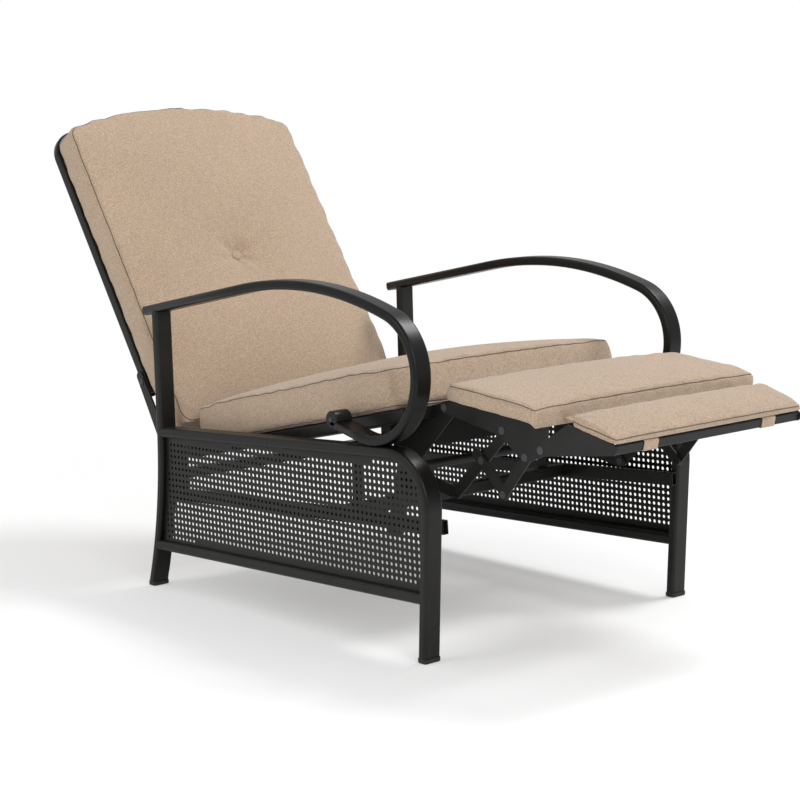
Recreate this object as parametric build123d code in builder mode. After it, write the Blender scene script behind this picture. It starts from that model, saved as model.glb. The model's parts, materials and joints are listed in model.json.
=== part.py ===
from build123d import *
from math import asin, atan2, ceil, cos, degrees, hypot, radians, sin, tan
import os

os.makedirs("parts", exist_ok=True)

# Sizes are in millimetres and angles in degrees. The chair faces -Y, Z is up, the floor is z = 0
# and the centre line is x = 0. The sitter's right is the side of negative x.
sides = {"right": -1, "left": 1}

# Side frames: tube of a rounded oblong section, seen edge on from the front
overall_width = 680.0
tube_across = 38.0
tube_thick = 19.0
tube_wall = 1.5
tube_corner = 6.0
side_mid = (overall_width - tube_across) / 2
side_inner = side_mid - tube_across / 2
side_outer = overall_width / 2

# Rear leg: upright, then an arc that sweeps back to the floor
rear_leg_y = 349.0
rear_leg_bend_height = 330.0
rear_leg_lean = 18.6
rear_leg_radius = rear_leg_bend_height / sin(radians(rear_leg_lean))

# Top rail, corner and front leg in one bent tube
rail_rear_height = 321.5
rail_climb = 3.05
rail_corner_y = -353.0
rail_corner_radius = 88.5
rail_corner_turn = 96.5
rail_heading = 180.0 - rail_climb
front_leg_heading = rail_heading + rail_corner_turn

# Bottom rail
bottom_rail_rear_height = 89.4
bottom_rail_climb = 1.75
bottom_rail_depth = 20.0

# Arm: its scroll stands on the top rail, its straight rear end rests on the rear leg
arm_thick = 18.0
scroll_y = -304.6
scroll_radius = 122.0
arm_nose_radius = 107.0
arm_nose_turn = 72.0
arm_fall_radius = 800.0
arm_fall_turn = 18.0
arm_rise_radius = 950.0
arm_rise_turn = 10.4
arm_rear_y = 386.0
scroll_run_turn = 22.0
scroll_tail = 26.0
curl_radius = 14.0
curl_turn = 158.0
curl_end = 38.0
screw_radius = 3.2
screw_head_thick = 1.6
screw_spread = 17.0
seat_gap = 0.3

# Glides and end caps
glide_height = 8.0
glide_lip = 2.0
glide_plug_thick = 8.0
glide_plug_height = 8.0
glide_chamfer = 1.5
cap_thick = 2.0
cap_plug = 6.0
plug_clearance = 0.2

# Perforated side panels
panel_thick = 1.2
panel_inset = 7.0
panel_margin = 9.0
hole_pitch = 37.0
hole_row_pitch = 35.6
hole_flats = 19.5
hole_row_climb = 1.4

# Fore-and-aft mounting rails and the two cross rails between the sides
mount_rail_across = 13.0
mount_rail_tall = 25.0
mount_rail_front_y = -452.0
mount_rail_rear_y = 366.0
mount_rail_front_height = 236.1
mount_rail_fall = 3.24
cross_rail_thick = 25.0
front_cross_rail_y = -152.0
rear_cross_rail_y = 318.0
rear_cross_rail_height = 238.0
rear_cross_rail_tall = 20.0

# Plates, pins and fits
plate_thick = 3.0
layer_gap = 2.0
bar_half_width = 10.0
pivot_radius = 4.0
rivet_head_radius = 7.0
rivet_head_thick = 1.2
running_fit = 0.05
stub_length = 1.6
linkage_inset = 99.0
first_layer_x = side_inner - linkage_inset
hinge_pin_radius = 5.0
hinge_plate_thick = 4.0
hinge_plate_radius = 14.0

# Seat: hinged at its rear, carried by a link near its front
seat_hinge_y = 330.0
seat_hinge_z = 283.0
seat_slope = 12.0
seat_tilt_travel = 3.0
seat_tube = 25.0
seat_tube_wall = 1.5
seat_tube_corner = 4.0
seat_tube_inset = 40.0
seat_tube_x = side_inner - seat_tube_inset
seat_base_y = 282.0
seat_base_z = 299.0
seat_cushion_length = 612.0
seat_cushion_inset = 18.0
seat_cushion_half = side_inner - seat_cushion_inset
seat_cushion_rise = 78.0
seat_cushion_crown = 25.0
seat_cushion_draw = 5.0
seat_tube_rear_run = 63.0
seat_tube_front_run = 8.0
seat_slat_wide = 30.0
seat_slat_thick = 6.0
seat_slat_shares = [0.06, 0.22, 0.40, 0.57, 0.84]
seat_link_y = -250.0
seat_link_z = 356.0
seat_link_length = 102.0

# Back: hinged on the seat's ears
back_hinge_y = 390.0
back_hinge_z = 282.0
back_recline = 33.0
back_tube = 20.0
back_tube_wall = 1.5
back_tube_corner = 5.0
back_tube_inset = 19.0
back_tube_x = side_inner - back_tube_inset
back_tube_n = 4.0
back_tube_low_u = 118.0
back_tube_high_u = 690.0
back_tube_corner_radius = 55.0
back_tube_arch = 22.0
back_bolt_u = 150.0
back_bracket_top_u = 162.0
back_slat_wide = 30.0
back_slat_thick = 6.0
back_slat_shares = [0.14, 0.36, 0.58, 0.80]
back_cushion_low_u = 15.0
back_cushion_side_u = 728.0
back_cushion_top_u = 764.0
back_cushion_inset = 15.0
back_cushion_half = side_inner - back_cushion_inset
back_cushion_rise = 72.0
back_cushion_crown = 22.0
back_cushion_draw = 5.0
back_cushion_corner = 34.0
button_u = 466.0
button_radius = 12.0
button_thick = 7.0
button_round = 3.0
dimple_radius = 46.0
dimple_depth = 13.0

# Footrest: hinged in front of the seat
footrest_hinge_y = -385.0
footrest_hinge_z = 430.0
footrest_fall = 5.63
footrest_base_y = -441.0
footrest_base_z = 453.0
footrest_length = 217.0
footrest_inset = 20.0
footrest_half = side_inner - footrest_inset
footrest_rise = 33.0
footrest_crown = 15.0
footrest_draw = 4.0
footrest_lip_length = 14.0
footrest_lip_drop = 9.0
footrest_rail_rear_run = 6.0
footrest_rail_front_run = 190.0
footrest_bar_wide = 20.0
footrest_bar_thick = 8.0
footrest_bar_shares = [0.08, 0.86]

# Flap in front of the footrest
flap_hinge_y = -625.0
flap_hinge_z = 381.0
flap_fall = 12.0
flap_base_y = -696.0
flap_base_z = 429.0
flap_length = 102.0
flap_inset = 64.0
flap_half = side_inner - flap_inset
flap_rise = 26.0
flap_crown = 7.0
flap_draw = 3.0
flap_bar_run = 95.0
flap_bar_thick = 9.0
flap_bar_tall = 16.0
flap_bar_round = 2.0
flap_rear_bar_run = 6.0
flap_rear_bar_wide = 16.0
flap_rear_bar_thick = 6.0
flap_plate_rim = 9.0
strap_inset = 152.0
strap_x = side_inner - strap_inset
strap_half_width = 17.0
strap_thick = 1.4
flap_bar_drop = flap_bar_tall / 2 + strap_thick + 2 * seat_gap

# Linkage pivots with the footrest out
link_rise_y = -529.0
link_rise_z = 404.0
lift_y = -583.0
lift_z = 364.0
cross_y = -465.0
cross_z = 343.5
link_low_y = -392.0
link_low_z = 275.0
dyad_y = -523.0
dyad_z = 292.0
link_tail = 16.0
drive_tube_radius = 9.0
drive_tube_wall = 1.5

overrun = 40.0


def heading_vector(angle):
    return Vector(0, cos(radians(angle)), sin(radians(angle)))


def turned(point, centre, angle):
    """Turns a (y, z) point about a (y, z) centre."""
    across = point[0] - centre[0]
    upward = point[1] - centre[1]
    c = cos(radians(angle))
    s = sin(radians(angle))
    return (centre[0] + across * c - upward * s, centre[1] + across * s + upward * c)


def rail_height(y):
    """Height of the top rail's middle line."""
    return rail_rear_height + (rear_leg_y - y) * tan(radians(rail_climb))


def bottom_rail_height(y):
    """Height of the bottom rail's middle line."""
    return bottom_rail_rear_height + (rear_leg_y - y) * tan(radians(bottom_rail_climb))


def mount_rail_height(y):
    """Height of the mounting rail's middle line."""
    return mount_rail_front_height - (y - mount_rail_front_y) * tan(radians(mount_rail_fall))


def rear_leg_at(z):
    """Distance back of the rear leg's middle line at a height."""
    if z > rear_leg_bend_height:
        return rear_leg_y
    turn = asin((rear_leg_bend_height - z) / rear_leg_radius)
    return rear_leg_y + rear_leg_radius * (1 - cos(turn))


front_leg_direction = heading_vector(front_leg_heading)
corner_start = Vector(0, rail_corner_y, rail_height(rail_corner_y))
corner_centre = corner_start + heading_vector(rail_heading + 90) * rail_corner_radius
front_leg_top = corner_centre + heading_vector(front_leg_heading - 90) * rail_corner_radius


def front_leg_at(z):
    """Distance back of the front leg's middle line at a height."""
    return front_leg_top.Y + (z - front_leg_top.Z) * front_leg_direction.Y / front_leg_direction.Z


def swept_tube(path, across, thick, corner, wall):
    """Sweeps a rounded oblong tube along a path that lies in a plane of constant X."""
    with BuildPart() as tube:
        with BuildSketch(Plane(origin=path @ 0, x_dir=(1, 0, 0), z_dir=path % 0)):
            RectangleRounded(across, thick, corner)
            if wall > 0:
                RectangleRounded(across - 2 * wall, thick - 2 * wall, corner - wall, mode=Mode.SUBTRACT)
        sweep(path=path)
    return tube.part


def rear_leg_path(side):
    with BuildLine(Plane.YZ.offset(side * side_mid)) as line:
        upright = Line((rear_leg_y, rear_leg_top_z), (rear_leg_y, rear_leg_bend_height))
        JernArc(upright @ 1, upright % 1, rear_leg_radius, rear_leg_lean)
    return line.wires()[0]


def rail_leg_path(side):
    with BuildLine(Plane.YZ.offset(side * side_mid)) as line:
        rail = Line((rear_leg_y, rail_rear_height), (corner_start.Y, corner_start.Z))
        bend = JernArc(rail @ 1, rail % 1, rail_corner_radius, rail_corner_turn)
        run = (front_leg_top.Z + overrun) / -front_leg_direction.Z
        PolarLine(bend @ 1, run, direction=bend % 1)
    return line.wires()[0]


def bottom_rail_path(side):
    with BuildLine(Plane.YZ.offset(side * side_mid)) as line:
        front_y = front_leg_at(bottom_rail_height(corner_start.Y))
        rear_y = rear_leg_at(bottom_rail_rear_height)
        Line((rear_y, bottom_rail_height(rear_y)), (front_y, bottom_rail_height(front_y)))
    return line.wires()[0]


rail_top_rise = tube_thick / 2 / cos(radians(rail_climb))
scroll_z = rail_height(scroll_y) + rail_top_rise + seat_gap + arm_thick / 2
nose_y = scroll_y - scroll_radius
nose_z = scroll_z + scroll_radius
fall_y = nose_y + arm_nose_radius * (1 - cos(radians(arm_nose_turn)))
fall_z = nose_z + arm_nose_radius * sin(radians(arm_nose_turn))
apex_y = fall_y + arm_fall_radius * sin(radians(arm_fall_turn))
apex_z = fall_z + arm_fall_radius * (1 - cos(radians(arm_fall_turn)))
arm_straight_y = apex_y + arm_rise_radius * sin(radians(arm_rise_turn))
arm_straight_z = apex_z - arm_rise_radius * (1 - cos(radians(arm_rise_turn)))


def arm_height(y):
    """Height of the middle line of the arm's straight rear part."""
    return arm_straight_z - (y - arm_straight_y) * tan(radians(arm_rise_turn))


rear_leg_top_z = arm_height(rear_leg_y)


def arm_path(side):
    with BuildLine(Plane.YZ.offset(side * side_mid)) as line:
        straight = Line((arm_rear_y, arm_height(arm_rear_y)), (arm_straight_y, arm_straight_z))
        rise = JernArc(straight @ 1, straight % 1, arm_rise_radius, arm_rise_turn)
        fall = JernArc(rise @ 1, rise % 1, arm_fall_radius, arm_fall_turn)
        nose = JernArc(fall @ 1, fall % 1, arm_nose_radius, arm_nose_turn)
        scroll = JernArc(nose @ 1, nose % 1, scroll_radius, 90 + scroll_run_turn)
        tail = PolarLine(scroll @ 1, scroll_tail, direction=scroll % 1)
        curl = JernArc(tail @ 1, tail % 1, curl_radius, curl_turn)
        PolarLine(curl @ 1, curl_end, direction=curl % 1)
    return line.wires()[0]


def cut_away(piece, tools):
    """Copes a piece against its neighbours."""
    with BuildPart() as coped:
        add(piece)
        for tool in tools:
            add(tool, mode=Mode.SUBTRACT)
    return coped.part


def both_sides(maker):
    """Makes one node that holds the right and the left copy of a piece."""
    with BuildPart() as pair:
        for side in sides.values():
            add(maker(side))
    return pair.part


def save(piece, node):
    piece.label = node
    export_step(piece, f"parts/{node}.step")


def prism(side, inner, thick, sketch_maker):
    """Extrudes a (y, z) outline outward from a side's inner face."""
    with BuildPart() as plate:
        with BuildSketch(Plane.YZ.offset(side * inner)):
            sketch_maker()
        extrude(amount=side * thick)
    return plate.part


def hull_plate(side, inner, thick, discs, bores=()):
    """Flat plate round a row of discs, each (y, z, radius), with round bores."""

    def outline():
        for y, z, radius in discs:
            with Locations((y, z)):
                Circle(radius)
        make_hull()
        for y, z, radius in bores:
            with Locations((y, z)):
                Circle(radius, mode=Mode.SUBTRACT)

    return prism(side, inner, thick, outline)


def layer_x(number):
    """Inner face of a plate layer of the linkage, counted outward from the seat's plate."""
    return first_layer_x + number * (plate_thick + layer_gap)


def link_discs(points):
    return [(y, z, bar_half_width) for y, z in points]


def pin(side, centre, start, end, radius, heads):
    """Round pin along X, with a flat head below its start and beyond its end where asked for."""
    with BuildPart() as shaft:
        with BuildSketch(Plane.YZ.offset(side * start)):
            with Locations(centre):
                Circle(radius)
        extrude(amount=side * (end - start))
        if heads[0]:
            with BuildSketch(Plane.YZ.offset(side * start)):
                with Locations(centre):
                    Circle(radius + rivet_head_radius - pivot_radius)
            extrude(amount=-side * rivet_head_thick)
        if heads[1]:
            with BuildSketch(Plane.YZ.offset(side * end)):
                with Locations(centre):
                    Circle(radius + rivet_head_radius - pivot_radius)
            extrude(amount=side * rivet_head_thick)
    return shaft.part


def cross_bar(centre, across, tall, turn, half_length, corner, wall):
    """Straight bar or tube along X with its section turned in the (y, z) plane."""
    with BuildPart() as bar:
        with BuildSketch(Plane.YZ):
            with Locations(centre):
                RectangleRounded(across, tall, corner, rotation=turn)
                if wall > 0:
                    RectangleRounded(
                        across - 2 * wall, tall - 2 * wall, corner - wall, rotation=turn, mode=Mode.SUBTRACT
                    )
        extrude(amount=half_length, both=True)
    return bar.part


class Rest:
    """A plane across the chair that a cushion lies on: a start, a heading and the side it faces."""

    def __init__(self, y, z, heading, face):
        self.start = Vector(0, y, z)
        self.run = heading_vector(heading)
        self.up = heading_vector(heading - 90 * face)
        self.face = face

    def at(self, run, rise):
        return self.start + self.run * run + self.up * rise

    def spot(self, run, rise):
        point = self.at(run, rise)
        return (point.Y, point.Z)

    def section(self, run, rise):
        return Plane(origin=self.at(run, rise), x_dir=(self.face, 0, 0), z_dir=self.run)

    def flat(self, rise):
        return Plane(origin=self.at(0, rise), x_dir=self.run, z_dir=self.up)


seat_rest = Rest(seat_base_y, seat_base_z, 180 - seat_slope, 1)
back_rest = Rest(back_hinge_y, back_hinge_z, 90 - back_recline, -1)
foot_rest = Rest(footrest_base_y, footrest_base_z, 180 + footrest_fall, 1)
flap_rest = Rest(flap_base_y, flap_base_z, 180 + flap_fall, 1)

# Each station of a cushion: share of its length, of its half width, of its rise and of its crown
seat_station_shares = [
    (0.0, 0.985, 0.90, 0.30),
    (0.10, 1.0, 0.98, 0.72),
    (0.50, 1.0, 1.0, 1.0),
    (0.90, 1.0, 1.0, 0.76),
    (1.0, 0.985, 0.93, 0.34),
]
back_station_shares = [
    (0.0, 0.985, 0.86, 0.16),
    (0.10, 1.0, 0.97, 0.66),
    (0.50, 1.0, 1.0, 1.0),
    (0.88, 1.0, 1.0, 0.80),
    (1.0, 0.985, 0.90, 0.36),
]
pad_station_shares = [
    (0.0, 0.985, 0.82, 0.30),
    (0.16, 1.0, 1.0, 0.80),
    (0.50, 1.0, 1.0, 1.0),
    (0.84, 1.0, 0.96, 0.84),
    (1.0, 0.985, 0.72, 0.34),
]
flap_station_shares = [
    (0.0, 0.985, 0.86, 0.30),
    (0.18, 1.0, 0.97, 0.90),
    (0.50, 1.0, 0.80, 1.0),
    (0.84, 1.0, 0.58, 0.90),
    (1.0, 0.985, 0.36, 0.40),
]


def crowned_section(plane, half, rise, crown, draw):
    """Closed section of a boxed cushion: flat base, bowed sides, crowned face."""
    with BuildSketch(plane) as section:
        with BuildLine():
            Line((-half + draw, 0), (half - draw, 0))
            ThreePointArc((half - draw, 0), (half, rise / 2), (half - draw, rise))
            ThreePointArc((half - draw, rise), (0, rise + crown), (draw - half, rise))
            ThreePointArc((draw - half, rise), (-half, rise / 2), (draw - half, 0))
        make_face()
    return section.sketch


def crowned_block(rest, start, length, base, half, rise, crown, draw, shares):
    """Lofts a cushion through its stations, from start along the rest plane."""
    sections = []
    for run_share, half_share, rise_share, crown_share in shares:
        plane = rest.section(start + length * run_share, base)
        size = (half * half_share, rise * rise_share, crown * crown_share)
        sections.append(crowned_section(plane, *size, draw))
    with BuildPart() as block:
        loft(sections=sections)
    return block.part


# Side frames of the base
def solid_tube(path, thick):
    return swept_tube(path, tube_across, thick, tube_corner, 0)


def make_rear_leg(side):
    tube = swept_tube(rear_leg_path(side), tube_across, tube_thick, tube_corner, tube_wall)
    with BuildPart() as leg:
        add(tube)
        add(solid_tube(arm_path(side), arm_thick), mode=Mode.SUBTRACT)
        split(bisect_by=Plane.XY.offset(glide_height), keep=Keep.TOP)
    return leg.part


def make_rail_leg(side):
    tube = swept_tube(rail_leg_path(side), tube_across, tube_thick, tube_corner, tube_wall)
    with BuildPart() as leg:
        add(tube)
        add(solid_tube(rear_leg_path(side), tube_thick), mode=Mode.SUBTRACT)
        split(bisect_by=Plane.XY.offset(glide_height), keep=Keep.TOP)
    return leg.part


def make_bottom_rail(side):
    tube = swept_tube(bottom_rail_path(side), tube_across, bottom_rail_depth, tube_corner, tube_wall)
    legs = [solid_tube(rear_leg_path(side), tube_thick), solid_tube(rail_leg_path(side), tube_thick)]
    return cut_away(tube, legs)


def make_arm(side):
    return swept_tube(arm_path(side), tube_across, arm_thick, tube_corner, tube_wall)


def panel_room(y, z):
    """Distance from a point of the side panel to the nearest tube."""
    half = tube_thick / 2
    below = z - bottom_rail_height(y) - bottom_rail_depth / 2
    above = rail_height(y) - z - half
    behind = rear_leg_at(z) - y - half
    ahead = y - front_leg_at(z) - half
    room = min(below, above, behind, ahead)
    if y < corner_centre.Y and z > corner_centre.Z:
        reach = hypot(y - corner_centre.Y, z - corner_centre.Z)
        room = min(room, rail_corner_radius - half - reach)
    return room


def panel_holes():
    """Centres of the openings, in rows that climb a little to the front."""
    climb = radians(hole_row_climb)
    middle_y = (rear_leg_y + front_leg_top.Y) / 2
    middle_z = (rail_height(middle_y) + bottom_rail_height(middle_y)) / 2
    across = ceil((rear_leg_y - front_leg_top.Y) / hole_pitch / 2)
    upward = ceil(rail_rear_height / hole_row_pitch / 2)
    spots = []
    for row in range(-upward, upward + 1):
        for column in range(-across, across + 1):
            run = column * hole_pitch
            rise = row * hole_row_pitch
            y = middle_y + run * cos(climb) + rise * sin(climb)
            z = middle_z - run * sin(climb) + rise * cos(climb)
            if panel_room(y, z) > panel_margin + hole_flats / 2:
                spots.append((y, z))
    return spots


def make_side_panel(side):
    inner = side_mid + panel_inset
    low_rear_y = rear_leg_at(bottom_rail_rear_height)
    low_front_y = front_leg_at(bottom_rail_height(front_leg_top.Y))
    with BuildPart() as panel:
        with BuildSketch(Plane.YZ.offset(side * inner)):
            with BuildLine():
                rail = Line((rear_leg_y, rail_rear_height), (corner_start.Y, corner_start.Z))
                bend = JernArc(rail @ 1, rail % 1, rail_corner_radius, rail_corner_turn)
                front = Line(bend @ 1, (low_front_y, bottom_rail_height(low_front_y)))
                floor = Line(front @ 1, (low_rear_y, bottom_rail_height(low_rear_y)))
                Line(floor @ 1, rail @ 0)
            make_face()
            with Locations(panel_holes()):
                RegularPolygon(hole_flats / 2, 6, major_radius=False, mode=Mode.SUBTRACT)
        extrude(amount=side * panel_thick)
        add(solid_tube(rear_leg_path(side), tube_thick), mode=Mode.SUBTRACT)
        add(solid_tube(rail_leg_path(side), tube_thick), mode=Mode.SUBTRACT)
        add(solid_tube(bottom_rail_path(side), bottom_rail_depth), mode=Mode.SUBTRACT)
    return panel.part


def make_mounting_rail(side):
    inner = side_inner - mount_rail_across
    length = (mount_rail_rear_y - mount_rail_front_y) / cos(radians(mount_rail_fall))
    start = Vector(side * (inner + mount_rail_across / 2), mount_rail_front_y, mount_rail_front_height)
    along = heading_vector(-mount_rail_fall)
    with BuildPart() as rail:
        with BuildSketch(Plane(origin=start, x_dir=(1, 0, 0), z_dir=along)):
            RectangleRounded(mount_rail_across, mount_rail_tall, tube_wall)
            Rectangle(mount_rail_across - 2 * tube_wall, mount_rail_tall - 2 * tube_wall, mode=Mode.SUBTRACT)
        extrude(amount=length)
    return rail.part


front_cross_rail_z = mount_rail_height(front_cross_rail_y)
mount_rail_inner = side_inner - mount_rail_across


def make_front_cross_rail():
    centre = (front_cross_rail_y, front_cross_rail_z)
    turn = -mount_rail_fall
    return cross_bar(
        centre, cross_rail_thick, mount_rail_tall, turn, mount_rail_inner, seat_tube_corner, tube_wall
    )


def make_rear_cross_rail():
    centre = (rear_cross_rail_y, rear_cross_rail_height)
    half = side_inner - hinge_plate_thick
    return cross_bar(centre, cross_rail_thick, rear_cross_rail_tall, 0, half, seat_tube_corner, tube_wall)


def make_glide(spot_y, side):
    with BuildPart() as glide:
        with BuildSketch(Plane.XY):
            with Locations((side * side_mid, spot_y)):
                RectangleRounded(tube_across, tube_thick + 2 * glide_lip, tube_corner)
        extrude(amount=glide_height)
        chamfer(glide.faces().sort_by(Axis.Z)[0].edges(), glide_chamfer)
        with BuildSketch(Plane.XY.offset(glide_height)):
            with Locations((side * side_mid, spot_y)):
                Rectangle(tube_across - 2 * tube_wall - 2 * glide_lip, glide_plug_thick)
        extrude(amount=glide_plug_height)
    return glide.part


def make_foot_glides():
    with BuildPart() as glides:
        for side in sides.values():
            add(make_glide(rear_leg_at(glide_height), side))
            add(make_glide(front_leg_at(glide_height), side))
    return glides.part


def make_arm_end_caps():
    """Plugs in the two open ends of each arm."""
    with BuildPart() as caps:
        for side in sides.values():
            path = arm_path(side)
            for at, outward in ((path @ 0, -(path % 0)), (path @ 1, path % 1)):
                with BuildSketch(Plane(origin=at, x_dir=(1, 0, 0), z_dir=outward)):
                    RectangleRounded(tube_across, arm_thick, tube_corner)
                extrude(amount=cap_thick)
                inset = 2 * tube_wall + 2 * plug_clearance
                with BuildSketch(Plane(origin=at, x_dir=(1, 0, 0), z_dir=outward)):
                    RectangleRounded(tube_across - inset, arm_thick - inset, tube_corner - inset / 2)
                extrude(amount=-cap_plug)
    return caps.part


def make_arm_screws(side):
    """Two small screws on the outer face of the scroll's end."""
    path = arm_path(side)
    end = path @ 1
    if (path @ 0).Z < (path @ 1).Z:
        end = path @ 0
    with BuildPart() as screws:
        with BuildSketch(Plane.YZ.offset(side * side_outer)):
            with Locations((end.Y + screw_spread / 2, end.Z), (end.Y + 3 * screw_spread / 2, end.Z)):
                Circle(screw_radius)
        extrude(amount=side * screw_head_thick)
    return screws.part


# Hinges between the base, the seat and the back
ear_inner = seat_tube_x + seat_tube / 2
bracket_inner = back_tube_x + back_tube / 2
base_plate_inner = side_inner - hinge_plate_thick
seat_hinge = (seat_hinge_y, seat_hinge_z)
back_hinge = (back_hinge_y, back_hinge_z)


def make_hinge_bracket(side):
    """Plate on the rear leg that carries the seat's rear hinge and the rear cross rail."""
    foot_z = mount_rail_height(rear_cross_rail_y) + mount_rail_tall / 2 / cos(radians(mount_rail_fall))
    foot_z = foot_z + hinge_plate_radius
    front_y = rear_cross_rail_y + hinge_plate_radius - cross_rail_thick / 2
    discs = [
        (seat_hinge_y, seat_hinge_z, hinge_plate_radius),
        (rear_leg_y, seat_hinge_z, hinge_plate_radius),
        (front_y, foot_z, hinge_plate_radius),
        (rear_leg_y, foot_z, hinge_plate_radius),
    ]
    bores = [(seat_hinge_y, seat_hinge_z, hinge_pin_radius + running_fit)]
    return hull_plate(side, base_plate_inner, hinge_plate_thick, discs, bores)


def make_seat_ear(side):
    discs = [
        (seat_hinge_y, seat_hinge_z, hinge_plate_radius),
        (back_hinge_y, back_hinge_z, hinge_plate_radius),
    ]
    bores = [(y, z, hinge_pin_radius) for y, z, _ in discs]
    return hull_plate(side, ear_inner, hinge_plate_thick, discs, bores)


# Seat frame
seat_tube_n = -seat_tube / 2


def seat_spot(run, rise):
    return seat_rest.spot(run, rise)


seat_tube_start = -seat_tube_rear_run
seat_tube_end = seat_cushion_length + seat_tube_front_run


def make_seat_side_tube(side):
    plane = seat_rest.section(seat_tube_start, seat_tube_n)
    with BuildPart() as tube:
        with BuildSketch(plane):
            with Locations((side * seat_tube_x, 0)):
                RectangleRounded(seat_tube, seat_tube, seat_tube_corner)
                inside = seat_tube - 2 * seat_tube_wall
                RectangleRounded(inside, inside, seat_tube_corner - seat_tube_wall, mode=Mode.SUBTRACT)
        extrude(amount=seat_tube_end - seat_tube_start)
    return tube.part


seat_inner_half = seat_tube_x - seat_tube / 2


def make_seat_cross_tube(run):
    centre = seat_spot(run, seat_tube_n)
    return cross_bar(
        centre, seat_tube, seat_tube, -seat_slope, seat_inner_half, seat_tube_corner, seat_tube_wall
    )


seat_front_run = seat_tube_end - seat_tube / 2
seat_rear_run = seat_tube_start + seat_tube / 2 + seat_tube


def make_seat_slats():
    with BuildPart() as slats:
        for share in seat_slat_shares:
            centre = seat_spot(seat_cushion_length * share, -seat_slat_thick / 2)
            slat_round = seat_slat_thick / 4
            add(
                cross_bar(
                    centre, seat_slat_wide, seat_slat_thick, -seat_slope, seat_inner_half, slat_round, 0
                )
            )
    return slats.part


def make_seat_cushion():
    return crowned_block(
        seat_rest,
        0,
        seat_cushion_length,
        0,
        seat_cushion_half,
        seat_cushion_rise,
        seat_cushion_crown,
        seat_cushion_draw,
        seat_station_shares,
    )


# Seat link: carries the front of the seat on the front cross rail
seat_link_point = (seat_link_y, seat_link_z)
seat_link_down = turned(seat_link_point, seat_hinge, seat_tilt_travel)
link_chord = hypot(seat_link_down[0] - seat_link_y, seat_link_down[1] - seat_link_z)
link_middle = ((seat_link_y + seat_link_down[0]) / 2, (seat_link_z + seat_link_down[1]) / 2)
link_reach = (seat_link_length ** 2 - link_chord ** 2 / 4) ** 0.5
seat_link_base = (
    link_middle[0] - (seat_link_down[1] - seat_link_z) * link_reach / link_chord,
    link_middle[1] + (seat_link_down[0] - seat_link_y) * link_reach / link_chord,
)
lug_inner = seat_inner_half
seat_link_inner = lug_inner - layer_gap - plate_thick
lift_bracket_inner = seat_link_inner - layer_gap - plate_thick


def make_seat_link(side):
    bores = [
        (seat_link_base[0], seat_link_base[1], pivot_radius + running_fit),
        (seat_link_y, seat_link_z, pivot_radius + running_fit),
    ]
    discs = link_discs([seat_link_base, seat_link_point])
    return hull_plate(side, seat_link_inner, plate_thick, discs, bores)


def make_lift_bracket(side):
    foot = front_cross_rail_z + mount_rail_tall / 2
    radius = cross_rail_thick / 2

    def outline():
        with Locations((seat_link_base[0], (foot + seat_link_base[1]) / 2)):
            Rectangle(2 * radius, seat_link_base[1] - foot)
        with Locations(seat_link_base):
            Circle(radius)
            Circle(pivot_radius, mode=Mode.SUBTRACT)

    plate = prism(side, lift_bracket_inner, plate_thick, outline)
    return cut_away(plate, [front_rail_solid])


front_rail_solid = cross_bar(
    (front_cross_rail_y, front_cross_rail_z),
    cross_rail_thick,
    mount_rail_tall,
    -mount_rail_fall,
    mount_rail_inner,
    seat_tube_corner,
    0,
)


def make_bracket_pin(side):
    end = seat_link_inner + plate_thick
    return pin(side, seat_link_base, lift_bracket_inner, end, pivot_radius, (True, True))


def make_seat_lug(side):
    """Plate under the side tube that the seat link's open pivot rests at."""
    top = seat_spot((seat_base_y - seat_link_y) / cos(radians(seat_slope)), -seat_tube)
    radius = cross_rail_thick / 2

    def outline():
        with Locations(seat_link_point):
            Circle(radius)
        with Locations((seat_link_y, (top[1] + seat_link_z) / 2)):
            Rectangle(2 * radius, top[1] - seat_link_z + radius)

    plate = prism(side, lug_inner, plate_thick, outline)
    return cut_away(plate, [seat_side_solid(side)])


def seat_side_solid(side):
    with BuildPart() as tube:
        with BuildSketch(seat_rest.section(seat_tube_start, seat_tube_n)):
            with Locations((side * seat_tube_x, 0)):
                RectangleRounded(seat_tube, seat_tube, seat_tube_corner)
        extrude(amount=seat_tube_end - seat_tube_start)
    return tube.part


# Linkage between the seat and the footrest
footrest_hinge = (footrest_hinge_y, footrest_hinge_z)
link_rise = (link_rise_y, link_rise_z)
lift_point = (lift_y, lift_z)
cross_point = (cross_y, cross_z)
link_low = (link_low_y, link_low_z)
dyad_point = (dyad_y, dyad_z)
flap_hinge = (flap_hinge_y, flap_hinge_z)
# The crank makes a parallelogram with the footrest's arm and the first link
crank_hinge = (link_low_y + footrest_hinge_y - link_rise_y, link_low_z + footrest_hinge_z - link_rise_z)

seat_layer = layer_x(0)
crank_layer = layer_x(1)
link_layer = layer_x(2)
cross_layer = layer_x(3)
lift_layer = layer_x(4)
footrest_layer = layer_x(5)
flap_layer = layer_x(6)


def beyond(start, end, distance):
    """Point on the line from start through end, a distance past its end."""
    length = hypot(end[0] - start[0], end[1] - start[1])
    return (
        end[0] + (end[0] - start[0]) * distance / length,
        end[1] + (end[1] - start[1]) * distance / length,
    )


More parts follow.
